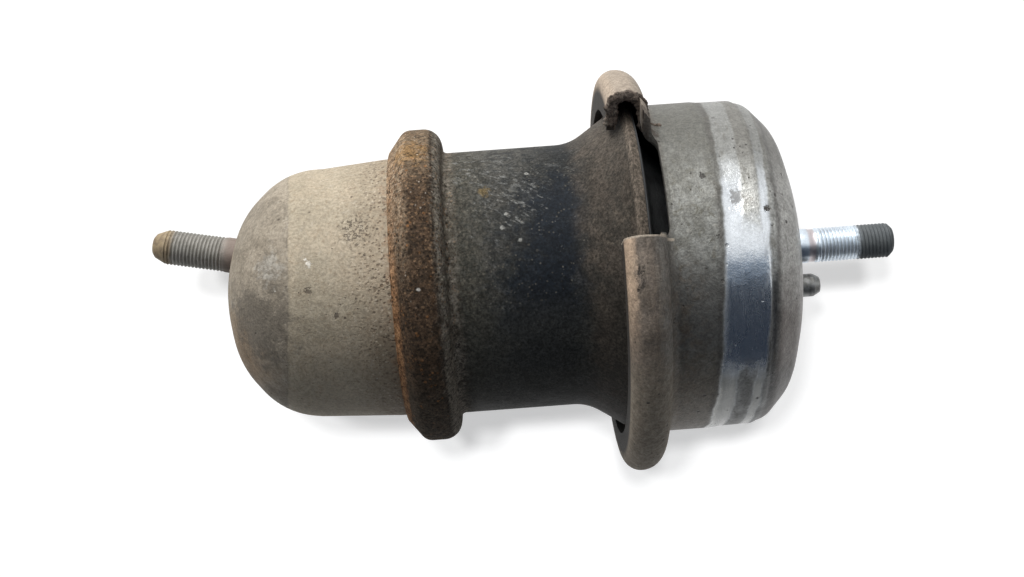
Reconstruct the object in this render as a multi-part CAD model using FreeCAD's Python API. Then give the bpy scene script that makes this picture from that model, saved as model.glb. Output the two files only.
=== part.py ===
import FreeCAD, Part
import math
import os

# Hydraulic engine mount with a rebound-stopper cup.  Millimetres.
# +Z is the body axis, from the lower can (chassis side) to the stopper cup (engine side).
# The origin is where the body axis meets the flat of the lower can's end.  The studs and the pin
# lie in the XZ plane.

os.makedirs("parts", exist_ok=True)
V = FreeCAD.Vector

# ---------------------------------------------------------------- driving dimensions
body_h = 191.3            # can end to cup end face, along the body axis
bond = 0.25               # rubber to metal gap at curved bonded faces
press = 0.05              # radial gap of pressed-in pins
slip = 0.25               # radial gap of clearance holes
relief = 0.35             # depth of the relief groove at the root of a stud or pin

# stopper cup
cup_t = 2.8               # sheet
cup_r = 56.3              # outside radius of the skirt
curl_r = 69.0             # outside radius of the curled rim
curl_z0 = 130.9           # lowest level of the curled rim
curl_h = 13.0             # height of the curled rim
lip_r = 56.0              # free edge of the curl
step_1 = 0.35             # first pressed step of the wall
step_2 = 0.75             # second pressed step
window_from, window_to = 8.0, 47.5     # degrees from the side facing -Y toward -X
window_z1 = 146.2         # upper edge of the window
window_round = 4.2        # corner radius of the window
curl_cut_to = 54.0        # the curl is cut away from the window's start to this angle
curl_cut_z = 141.6        # level down to which the skirt stays beyond the window

# outer sleeve
slv_t = 2.5
neck_r = 44.95
rim_r, rim_z = 59.5, 137.2             # rim of the flare
lip_flare = 5.3                        # width of its steeper outer part
flare_z = 120.0                        # level where the flare starts
crimp_r = 53.6
crimp_z1 = 76.5                        # shoulder face
crimp_z0 = 64.2                        # corner of the rolled lip
crimp_lip_r = 46.7
crimp_lip_deg = 38.0                   # lip slope from the horizontal

# lower can
can_t = 2.0
can_r_top = 44.4          # wall at the mouth
can_knee_r = 3.0          # inside corner between the wall and the clamped edge
can_r_low = 41.8          # wall at the knuckle
land_r = 9.0              # flat in the middle of the end
crown_r, crown_h = 27.0, 5.3           # end of the shallow crown
knuckle_h = 19.6
can_lean = 4.4            # degrees the end leans, to the side of the lower stud
lean_z = 32.0             # level the end leans about

# studs (metric fine thread M12) and pin
stud_d = 12.0
upper_off = -3.9          # X of the upper stud
upper_out = 38.6          # length that stands out of the cup
upper_plain = 12.0        # plain shank above the cup
pin_d = 8.0
pin_off = 9.8             # X of the locating pin
pin_out = 12.5
lower_off = -15.4         # X of the lower stud's axis at Z 0
lower_lean = 11.6         # degrees, away from the body axis
lower_out = 25.9          # length below Z 0, along its own axis
root_out = 0.6            # the relief groove ends this far outside the sheet

# core and rubber
core_top_r = 24.0
core_shoulder = 171.6     # level where the cone starts
core_r1, core_r0 = 26.0, 15.0
core_z0 = 120.6
bumper_t = 3.5            # rubber above the flare rim
film_t = 1.7              # rubber lining of the neck

# bell plate under the core
bell_r, bell_t = 23.0, 2.0
screw_d = 6.0

# stack inside the crimp
seal_t, cover_t, flange_t = 1.3, 1.5, 2.5
body_depth = 10.5         # height of the track body
well_r = 19.5             # decoupler well
disc_t = 3.0              # decoupler membrane
disc_play = 0.4           # free play on each side of it
channel_r, channel_w = 28.8, 8.4
grid_r = 2.9
rivet_ring, rivet_d = 22.0, 2.4
ring_r, ring_t = 40.0, 1.0

# pad and head of the lower stud inside the can
pad_r, pad_rise = 15.0, 6.8
head_r, head_t = 10.0, 4.0


# ---------------------------------------------------------------- profile helpers
def unit(a, b):
    d = math.hypot(b[0] - a[0], b[1] - a[1])
    return (b[0] - a[0]) / d, (b[1] - a[1]) / d


def fitted(path):
    """Path with corner radii eased where two neighbouring corners would run into each other."""
    reach = []
    for i, p in enumerate(path):
        if i == 0 or i == len(path) - 1 or p[2] <= 0:
            reach.append(0.0)
            continue
        u, w = unit(path[i - 1], p), unit(p, path[i + 1])
        c = max(-1.0, min(1.0, u[0] * w[0] + u[1] * w[1]))
        reach.append(p[2] * math.tan(math.acos(c) / 2.0))
    out = []
    for i, p in enumerate(path):
        ease = 1.0
        for j in (i - 1, i):
            if 0 <= j < len(path) - 1 and reach[j] + reach[j + 1] > 0:
                run = math.hypot(path[j + 1][0] - path[j][0], path[j + 1][1] - path[j][1])
                ease = min(ease, 0.98 * run / (reach[j] + reach[j + 1]))
        out.append((p[0], p[1], p[2] * ease))
    return out


def offset_path(path, t):
    """Path shifted by t to its right-hand side; corner radii follow."""
    out = []
    n = len(path)
    for i, p in enumerate(path):
        if i == 0:
            u = unit(p, path[1])
            out.append((p[0] + u[1] * t, p[1] - u[0] * t, 0.0))
        elif i == n - 1:
            u = unit(path[i - 1], p)
            out.append((p[0] + u[1] * t, p[1] - u[0] * t, 0.0))
        else:
            u, w = unit(path[i - 1], p), unit(p, path[i + 1])
            turn = u[0] * w[1] - u[1] * w[0]
            k = t / (1.0 + u[0] * w[0] + u[1] * w[1])
            q = (p[0] + (u[1] + w[1]) * k, p[1] - (u[0] + w[0]) * k)
            r = p[2] + t if turn > 0 else max(p[2] - t, 0.05)
            out.append((q[0], q[1], r if p[2] > 0 else 0.0))
    return out


def edges_of(path):
    """Lines and arcs of a path of (r, z, corner radius) points."""
    ends = []
    for i, p in enumerate(path):
        if i == 0 or i == len(path) - 1 or p[2] <= 0:
            ends.append(((p[0], p[1]), None, (p[0], p[1])))
            continue
        u, w = unit(path[i - 1], p), unit(p, path[i + 1])
        c = max(-1.0, min(1.0, u[0] * w[0] + u[1] * w[1]))
        half = math.acos(c) / 2.0
        if half < 1e-4:
            ends.append(((p[0], p[1]), None, (p[0], p[1])))
            continue
        s = p[2] * math.tan(half)
        a = (p[0] - u[0] * s, p[1] - u[1] * s)
        b = (p[0] + w[0] * s, p[1] + w[1] * s)
        bx, bz = w[0] - u[0], w[1] - u[1]
        m = math.hypot(bx, bz)
        k = p[2] / math.cos(half) - p[2]
        ends.append((a, (p[0] + bx / m * k, p[1] + bz / m * k), b))
    out = []
    for i, (a, mid, b) in enumerate(ends):
        if mid is not None:
            out.append(Part.Arc(V(a[0], 0, a[1]), V(mid[0], 0, mid[1]), V(b[0], 0, b[1])).toShape())
        if i + 1 < len(ends):
            n = ends[i + 1][0]
            if math.hypot(n[0] - b[0], n[1] - b[1]) > 1e-6:
                out.append(Part.makeLine(V(b[0], 0, b[1]), V(n[0], 0, n[1])))
    return out


def spin(edges):
    face = Part.Face(Part.Wire(edges))
    solid = face.revolve(V(0, 0, 0), V(0, 0, 1), 360)
    return solid if solid.Volume > 0 else solid.reversed()


def closed(path):
    """Turned solid of a closed section given as (r, z, corner radius) points."""
    n = len(path)
    k = next(i for i in range(n) if path[i][2] <= 0)
    ring = path[k:] + path[:k]
    return spin(edges_of(ring + [ring[0]]))


def sheet(path, t):
    """Pressed sheet: outer path, thickness t on its right-hand side, turned about Z."""
    inner = offset_path(path, t)
    back = [(p[0], p[1], p[2]) for p in reversed(inner)]
    a, b = path[-1], inner[-1]
    c, d = path[0], inner[0]
    edges = edges_of(path)
    edges.append(Part.makeLine(V(a[0], 0, a[1]), V(b[0], 0, b[1])))
    edges += edges_of(back)
    edges.append(Part.makeLine(V(d[0], 0, d[1]), V(c[0], 0, c[1])))
    return spin(edges)


def rod(r, x, z0, z1, y=0.0):
    return Part.makeCylinder(r, z1 - z0, V(x, y, z0))


def lean_rod(r, a, b):
    """Cylinder between two distances along the lower stud's axis, measured outward."""
    d = lower_dir()
    base = V(lower_off, 0, 0) + d * a
    return Part.makeCylinder(r, b - a, base, d)


def lower_dir():
    t = math.radians(lower_lean)
    return V(-math.sin(t), 0, -math.cos(t))


# ---------------------------------------------------------------- levels derived once
shoulder_in = crimp_z1 - slv_t                     # underside of the sleeve's shoulder
seal_z = shoulder_in - seal_t                      # underside of the seal lip
cover_z = seal_z - cover_t                         # underside of the track cover
flange_z = cover_z - flange_t                      # underside of the track body's flange
stack_r = crimp_r - slv_t - 0.4                    # radius of everything clamped in the crimp
seal_r = stack_r - 1.5                             # outer radius of the rubber seal lip
cover_r = stack_r - 0.9                            # clears the shoulder's inside corner
cup_in = body_h - cup_t                            # underside of the cup's end
lip_dir = (-math.cos(math.radians(crimp_lip_deg)), -math.sin(math.radians(crimp_lip_deg)))
lip_free = (crimp_lip_r + slv_t * lip_dir[1] - can_r_top) / -lip_dir[0]   # lip's inner edge to the can's wall


def cup_path():
    low = cup_r - step_1 - step_2
    return fitted([(0.0, body_h, 0), (33.0, body_h, 25.0), (46.5, body_h - 4.5, 14.0),
                   (low - 0.8, body_h - 12.1, 6.0), (low - 0.2, body_h - 14.7, 3.4),
                   (low + step_2 - 0.1, body_h - 16.3, 3.4), (cup_r - step_1, body_h - 26.7, 3.4),
                   (cup_r, body_h - 29.3, 3.4), (cup_r, curl_z0 + curl_h + 0.8, 3.2),
                   (curl_r, curl_z0 + curl_h - 0.5, 0.57 * curl_h), (curl_r, curl_z0, 0.44 * curl_h),
                   (lip_r, curl_z0, 0)])


def sleeve_path():
    lip_end = crimp_lip_r - crimp_r
    drop = lip_end / lip_dir[0] * lip_dir[1]
    return fitted([(rim_r, rim_z, 0), (rim_r - lip_flare, rim_z - 3.2, 12.0), (neck_r, flare_z, 16.0),
                   (neck_r, crimp_z1, 1.8), (crimp_r, crimp_z1, 6.0), (crimp_r, crimp_z0, 4.2),
                   (crimp_lip_r, crimp_z0 + drop, 0)])


def mouth_path():
    """Outside of the can from the clamped edge down to the level where its wall starts to lean."""
    corner = offset_path(sleeve_path(), slv_t + 0.05)[5]      # inside corner of the rolled lip
    k = (stack_r - 0.2 - corner[0]) / lip_dir[0]
    edge = (corner[0] + lip_dir[0] * k, corner[1] + lip_dir[1] * k)
    m = (can_r_top - corner[0]) / lip_dir[0]
    knee = corner[1] + lip_dir[1] * m
    knee_r = min(can_knee_r, 3.2 * lip_free)                  # larger would rise into the lip's inner edge
    return fitted([(edge[0], edge[1], 0), (can_r_top, knee, knee_r),
                   (can_r_top - 0.15, knee - 4.0, 0)])


def end_path():
    """Outside of the can's end in its own upright frame: wall, knuckle, crown and flat."""
    z = lean_z * (1.0 - math.cos(math.radians(can_lean)))
    wall = can_r_low + (can_r_top - can_r_low) * 0.36
    return fitted([(wall, z + knuckle_h + 12.5, 0), (can_r_low, z + knuckle_h, 26.0),
                   (crown_r, z + crown_h, 30.0), (land_r, z, 45.0), (0.0, z, 0)])


def lean_end(shape):
    shape.rotate(V(0, 0, lean_z), V(0, 1, 0), can_lean)
    return shape


def circle(r, z):
    return Part.Wire(Part.makeCircle(r, V(0, 0, z)))


def can_body(t):
    """Everything inside the surface that lies t inside the can's outside."""
    end, mouth = offset_path(end_path(), t), offset_path(mouth_path(), t)
    dome = lean_end(closed([(0, end[0][1], 0)] + end))
    neck = closed([(0, mouth[0][1], 0)] + mouth + [(0, mouth[-1][1], 0)])
    wall = Part.makeLoft([lean_end(circle(end[0][0], end[0][1])), circle(mouth[-1][0], mouth[-1][1])], True, True)
    return dome.fuse(wall).fuse(neck).removeSplitter()


# ---------------------------------------------------------------- pieces of the engine side
def sector(r0, r1, z0, z1, a0, a1):
    """Block of a ring between two angles counted from -Y toward -X."""
    face = Part.Face(Part.makePolygon([V(r0, 0, z0), V(r1, 0, z0), V(r1, 0, z1), V(r0, 0, z1), V(r0, 0, z0)]))
    block = face.revolve(V(0, 0, 0), V(0, 0, 1), a1 - a0)
    block = block if block.Volume > 0 else block.reversed()
    block.rotate(V(0, 0, 0), V(0, 0, 1), 270.0 - a1)
    return block


def window_tool():
    """Punch that clears the window: open toward the curled rim, rounded at its upper corners."""
    r0, r1 = lip_r - 6.0, curl_r + 6.0
    z0, z1 = curl_z0 - 5.0, window_z1
    da = math.degrees(window_round / (cup_r - cup_t / 2))
    tool = sector(r0, r1, z0, z1 - window_round, window_from, window_to)
    tool = tool.fuse(sector(r0, r1, z0, z1, window_from + da, window_to - da))
    for a in (window_from + da, window_to - da):
        t = math.radians(270.0 - a)
        d = V(math.cos(t), math.sin(t), 0)
        tool = tool.fuse(Part.makeCylinder(window_round, r1 - r0 - 0.6, d * (r0 + 0.3) + V(0, 0, z1 - window_round), d))
    return tool.fuse(sector(r0 + 0.15, r1, z0 + 0.2, curl_cut_z, window_to - da, curl_cut_to))


def stopper_cup():
    cup = sheet(cup_path(), cup_t)
    cup = cup.cut(window_tool())
    cup = cup.cut(rod(stud_d / 2 + slip, upper_off, cup_in - 5, body_h + 5))
    cup = cup.cut(rod(pin_d / 2 + slip, pin_off, cup_in - 5, body_h + 5))
    return cup


def inner_core():
    path = [(0, cup_in, 0), (core_top_r, cup_in, 1.5), (core_top_r, core_shoulder + 4.5, 2.0),
            (core_r1 + 2.5, core_shoulder + 2.0, 2.0), (core_r1 + 2.5, core_shoulder - 1.5, 1.0),
            (core_r1, core_shoulder - 3.0, 1.0), (core_r0, core_z0 + 8.0, 6.0), (core_r0 - 5.5, core_z0, 3.5),
            (0, core_z0, 0)]
    core = closed(path)
    core = core.cut(rod(stud_d / 2 + press, upper_off, cup_in - 30.0, cup_in + 5))
    core = core.cut(rod(pin_d / 2 + press, pin_off, cup_in - 14.0, cup_in + 5))
    return core.cut(rod(screw_d / 2 + press, 0, core_z0 - 1, core_z0 + 14.0))


def threaded_end(r, z_tip, length, chamfer):
    """Turned blank of a threaded end: path points from the tip down."""
    return [(0, z_tip, 0), (r - chamfer, z_tip, 0.8), (r, z_tip - chamfer, 0.8), (r, z_tip - length, 0)]


def upper_stud():
    r = stud_d / 2
    z_tip = body_h + upper_out
    z_run = body_h + upper_plain
    path = threaded_end(r, z_tip, upper_out - upper_plain, 1.6)
    path += [(r - relief, z_run - 0.6, 0), (r - relief, z_run - 2.2, 0), (r, z_run - 2.9, 0),
             (r, cup_in - 28.5, 0.8), (r - 1.5, cup_in - 29.8, 0), (0, cup_in - 29.8, 0)]
    stud = closed(path)
    stud.translate(V(upper_off, 0, 0))
    return stud


def locating_pin():
    r = pin_d / 2
    tip = body_h + pin_out
    path = [(0, tip, 0), (r - 1.3, tip, 0.7), (r, tip - 2.4, 1.2), (r, body_h + root_out, 0),
            (r - relief, body_h + root_out, 0), (r - relief, body_h - 1.2, 0), (r, body_h - 1.2 - relief, 0),
            (r, cup_in - 12.6, 0.6), (r - 1.0, cup_in - 13.8, 0), (0, cup_in - 13.8, 0)]
    pin = closed(path)
    pin.translate(V(pin_off, 0, 0))
    return pin


# ---------------------------------------------------------------- rubber of the spring
def main_spring():
    """Conical rubber between core and sleeve, lining of the neck, and bumper on the flare rim."""
    inner = offset_path(sleeve_path(), slv_t + bond)
    rim, bend, neck, step = inner[0], inner[1], inner[2], inner[3]
    b = bond
    slope = (core_r1 - core_r0) / (core_shoulder - 3.0 - core_z0 - 8.0)
    top_in = core_shoulder - 12.0
    low_in = core_z0 + 12.0
    r_top = core_r0 + slope * (top_in - core_z0 - 8.0) + b
    r_low = core_r0 + slope * (low_in - core_z0 - 8.0) + b
    lining = neck[0] - film_t
    path = [(r_top, top_in, 0), (r_top + 3.2, top_in - 0.8, 2.0),
            (46.0, rim_z + bumper_t + 0.6, 9.0), (51.0, rim_z + bumper_t, 2.5),
            (rim_r - 0.5, rim_z + bumper_t, 2.0), (rim[0] + 0.2, rim[1] + 0.3, 0.3), bend, neck, step,
            (seal_r, step[1], 0.6), (seal_r, seal_z, 0.0), (lining + 1.0, seal_z, 1.5),
            (lining, seal_z + 3.0, 3.0), (lining, crimp_z1 + 14.5, 6.0),
            (r_low + 6.0, low_in - 3.0, 8.0), (r_low, low_in, 0.0)]
    ring = Part.Wire(edges_of(path + [path[0]]))
    face = Part.Face(ring)
    solid = face.revolve(V(0, 0, 0), V(0, 0, 1), 360)
    return solid if solid.Volume > 0 else solid.reversed()


# ---------------------------------------------------------------- sleeve and chassis side
def outer_sleeve():
    return sheet(sleeve_path(), slv_t)


def lower_can():
    mouth = mouth_path()
    edge = offset_path(mouth, can_t)[0]
    # the clamped edge is cut square to the sheet, so the hollow is opened with a cone there
    top = closed([(0, edge[1], 0), (edge[0], edge[1], 0), (mouth[0][0], mouth[0][1], 0),
                  (0, mouth[0][1], 0)])
    can = can_body(0.0).fuse(top).cut(can_body(can_t)).cut(lid(edge))
    return can.cut(lean_rod(stud_d / 2 + slip, -lean_z, lower_out))


def lid(edge):
    """Air above the inside of the can, up to its clamped edge."""
    inner = offset_path(mouth_path(), can_t)
    return closed([(0, inner[1][1] - 0.5, 0), (inner[0][0] - (inner[0][1] - inner[1][1] + 0.5), inner[1][1] - 0.5, 0),
                   (inner[0][0], inner[0][1], 0), (inner[0][0], edge[1] + 5, 0), (0, edge[1] + 5, 0)])


def can_gap():
    """Room between the track body's flange and the can's edge: the thickness of the bellows."""
    return flange_z - offset_path(mouth_path(), can_t)[0][1]


def backing_plate():
    """Pad inside the can: follows its bottom and gives the leaning stud a square seat."""
    pad = lean_rod(pad_r, -pad_rise - can_t, 6.0).common(can_body(can_t + 0.15))
    return pad.cut(lean_rod(stud_d / 2 + slip, -lean_z, lower_out))


def lower_stud():
    """Stud with a round head, drawn along its own axis and then leaned."""
    r = stud_d / 2
    head = -pad_rise - can_t - 0.05
    path = [(0, head - head_t, 0), (head_r, head - head_t, 1.2), (head_r, head, 0.4), (r, head, 0),
            (r, root_out - 2.4, 0), (r - relief, root_out - 2.0, 0), (r - relief, root_out, 0),
            (r, root_out, 0), (r, lower_out - 4.8, 2.5),
            (r - 2.4, lower_out, 1.8), (0, lower_out, 0)]
    stud = closed(path)
    stud.rotate(V(0, 0, 0), V(0, 1, 0), 180.0 + lower_lean)
    stud.translate(V(lower_off, 0, 0))
    return stud


def diaphragm():
    """Rubber bellows under the track body; its rim is clamped between track body and can."""
    z = flange_z
    skin = [(0.0, z - 18.0, 0), (11.0, z - 18.0, 7.0), (20.0, z - 33.0, 7.5), (33.5, z - 31.0, 9.0),
            (37.8, z, 4.0), (stack_r - 0.3, z, 0)]
    return sheet(skin, can_gap())


def clamp_ring():
    z = flange_z - can_gap()
    return sheet([(ring_r, z - 12.0, 0), (ring_r, z, 2.2), (ring_r + 6.8, z, 0)], ring_t)


def ring_of_rods(count, radius, r, z0, z1, start=0.0):
    rods = []
    for i in range(count):
        t = math.radians(start + 360.0 / count * i)
        rods.append(rod(r, radius * math.cos(t), z0, z1, radius * math.sin(t)))
    return rods


def grid_holes(z0, z1):
    return [rod(grid_r, 0, z0, z1)] + ring_of_rods(6, well_r * 0.6, grid_r, z0, z1)


def track_body():
    """Cast body: decoupler well in the middle, annular flow channel round it."""
    top, low = cover_z, cover_z - body_depth
    well = top - disc_t - 2 * disc_play
    c0, c1 = channel_r - channel_w / 2, channel_r + channel_w / 2
    floor = low + 2.4
    body = closed([(0, well, 0), (well_r, well, 0), (well_r, top, 0), (c0, top, 0), (c0, floor, 1.2),
                   (c1, floor, 1.2), (c1, top, 0), (stack_r, top, 0), (stack_r, flange_z, 0),
                   (c1 + 3.2, flange_z, 1.0), (c1 + 2.8, low, 1.5), (0, low, 0)])
    body = body.fuse(sector(c0 - 0.5, c1 + 0.5, floor - 0.5, top, 80.0, 94.0)).removeSplitter()
    for hole in grid_holes(low - 1, well + 1):
        body = body.cut(hole)
    for hole in ring_of_rods(3, rivet_ring, rivet_d / 2 + press, low - 1, top + 1, 30.0):
        body = body.cut(hole)
    t = math.radians(270.0 - 107.0)
    return body.cut(rod(2.8, channel_r * math.cos(t), low - 1, floor + 1, channel_r * math.sin(t)))


def track_cover():
    """Plate over the track body with the upper grid and the inlet of the channel."""
    cover = closed([(0, cover_z, 0), (cover_r, cover_z, 0), (cover_r, seal_z, 0), (0, seal_z, 0)])
    for hole in grid_holes(cover_z - 1, seal_z + 1):
        cover = cover.cut(hole)
    for hole in ring_of_rods(3, rivet_ring, rivet_d / 2 + press, cover_z - 1, seal_z + 1, 30.0):
        cover = cover.cut(hole)
    return cover.cut(sector(channel_r - 2.6, channel_r + 2.6, cover_z - 1, seal_z + 1, 58.0, 74.0))


def decoupler_disc():
    z = cover_z - disc_t - disc_play
    r = well_r - 0.5
    return closed([(0, z, 0), (r, z, 0.8), (r, z + disc_t, 0.8), (0, z + disc_t, 0)])


def track_rivet(index):
    low, top = cover_z - body_depth, seal_z
    t = math.radians(30.0 + 120.0 * index)
    r = rivet_d / 2
    rivet = closed([(0, low - 0.9, 0), (r + 0.8, low - 0.9, 0.5), (r + 0.8, low, 0), (r, low, 0), (r, top, 0),
                    (r + 1.0, top, 0), (r + 1.0, top + 1.1, 0.8), (0, top + 1.1, 0)])
    rivet.translate(V(rivet_ring * math.cos(t), rivet_ring * math.sin(t), 0))
    return rivet


def bell_plate():
    """Dished plate under the core that stirs the upper fluid chamber."""
    plate = sheet([(0, core_z0, 0), (10.0, core_z0, 5.0), (bell_r, core_z0 - 6.0, 0)], bell_t)
    return plate.cut(rod(screw_d / 2 + slip, 0, core_z0 - 8, core_z0 + 2))


def bell_screw():
    r = screw_d / 2
    top, face = core_z0 + 13.0, core_z0 - bell_t
    screw = closed([(0, top, 0), (r - 0.6, top, 0), (r, top - 0.7, 0), (r, face, 0), (5.0, face, 0.5),
                    (5.0, face - 4.0, 0.9), (0, face - 4.0, 0)])
    return screw.cut(hexagon(2.5, face - 4.5, 2.6))


def hexagon(across, z, h):
    r = across / math.sqrt(3.0)
    pts = [V(r * math.cos(math.radians(60 * i)), r * math.sin(math.radians(60 * i)), z) for i in range(7)]
    return Part.Face(Part.makePolygon(pts)).extrude(V(0, 0, h))


PIECES = {
    "stopper_cup": stopper_cup, "inner_core": inner_core, "upper_stud": upper_stud,
    "locating_pin": locating_pin, "main_spring": main_spring, "bell_plate": bell_plate,
    "bell_screw": bell_screw, "outer_sleeve": outer_sleeve, "track_cover": track_cover,
    "decoupler_disc": decoupler_disc, "track_body": track_body,
    "track_rivet_1": lambda: track_rivet(0), "track_rivet_2": lambda: track_rivet(1),
    "track_rivet_3": lambda: track_rivet(2), "diaphragm": diaphragm, "clamp_ring": clamp_ring,
    "lower_can": lower_can, "backing_plate": backing_plate, "lower_stud": lower_stud,
}

for name, make in PIECES.items():
    shape = make()
    if not shape.isValid() or len(shape.Solids) != 1:
        print("check", name, shape.isValid(), len(shape.Solids))
    shape.exportStep("parts/%s.step" % name)
    print(name, round(shape.Volume / 1000.0, 2), "cm3")
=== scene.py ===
"""Looks of a used liquid-filled engine mount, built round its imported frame.  Metres, row frame."""

import math

import bmesh
import bpy
from mathutils import Matrix, Vector, noise


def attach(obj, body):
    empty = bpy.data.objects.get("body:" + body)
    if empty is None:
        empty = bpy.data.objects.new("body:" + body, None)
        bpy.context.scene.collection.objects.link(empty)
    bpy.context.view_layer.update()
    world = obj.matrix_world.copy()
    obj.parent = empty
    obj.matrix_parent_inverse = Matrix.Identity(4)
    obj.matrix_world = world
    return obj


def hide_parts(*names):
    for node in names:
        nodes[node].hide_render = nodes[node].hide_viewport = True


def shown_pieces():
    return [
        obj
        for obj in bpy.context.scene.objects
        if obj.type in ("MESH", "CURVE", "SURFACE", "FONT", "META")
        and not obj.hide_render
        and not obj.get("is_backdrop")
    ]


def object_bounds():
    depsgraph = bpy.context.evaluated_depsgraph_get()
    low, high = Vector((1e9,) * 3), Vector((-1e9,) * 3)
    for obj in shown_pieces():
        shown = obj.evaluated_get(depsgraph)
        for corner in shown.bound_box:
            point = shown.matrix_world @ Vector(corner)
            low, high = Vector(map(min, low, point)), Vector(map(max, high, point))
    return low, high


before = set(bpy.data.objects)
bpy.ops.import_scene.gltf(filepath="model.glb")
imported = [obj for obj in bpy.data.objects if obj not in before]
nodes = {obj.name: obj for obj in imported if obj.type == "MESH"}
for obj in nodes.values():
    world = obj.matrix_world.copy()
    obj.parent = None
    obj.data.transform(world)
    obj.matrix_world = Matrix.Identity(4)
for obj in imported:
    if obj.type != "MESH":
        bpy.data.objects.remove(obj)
cad_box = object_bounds()
scene = bpy.context.scene
mm = 0.001

# ---------------------------------------------------------------- dimensions shared with the frame
cup_under = 188.5 * mm                     # underside of the cup's end
stud_r, pitch, thread_deep = 6.0 * mm, 1.25 * mm, 0.42 * mm
upper_x, upper_tip, upper_run = -3.9 * mm, 229.9 * mm, 203.3 * mm
lower_x, lower_lean, lower_tip = -15.4 * mm, math.radians(11.6), 25.9 * mm
window_from, window_to, curl_to = math.radians(8.0), math.radians(47.5), math.radians(54.0)
wall_out, sheet_t = 56.3 * mm, 2.8 * mm     # cup's skirt and its sheet
head_r, head_level, head_high = 10.0 * mm, -8.85 * mm, 4.0 * mm     # lower stud's head
relief_r, relief_from, relief_run = 5.65 * mm, 2.9 * mm, 0.7 * mm   # groove before the upper thread


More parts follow.
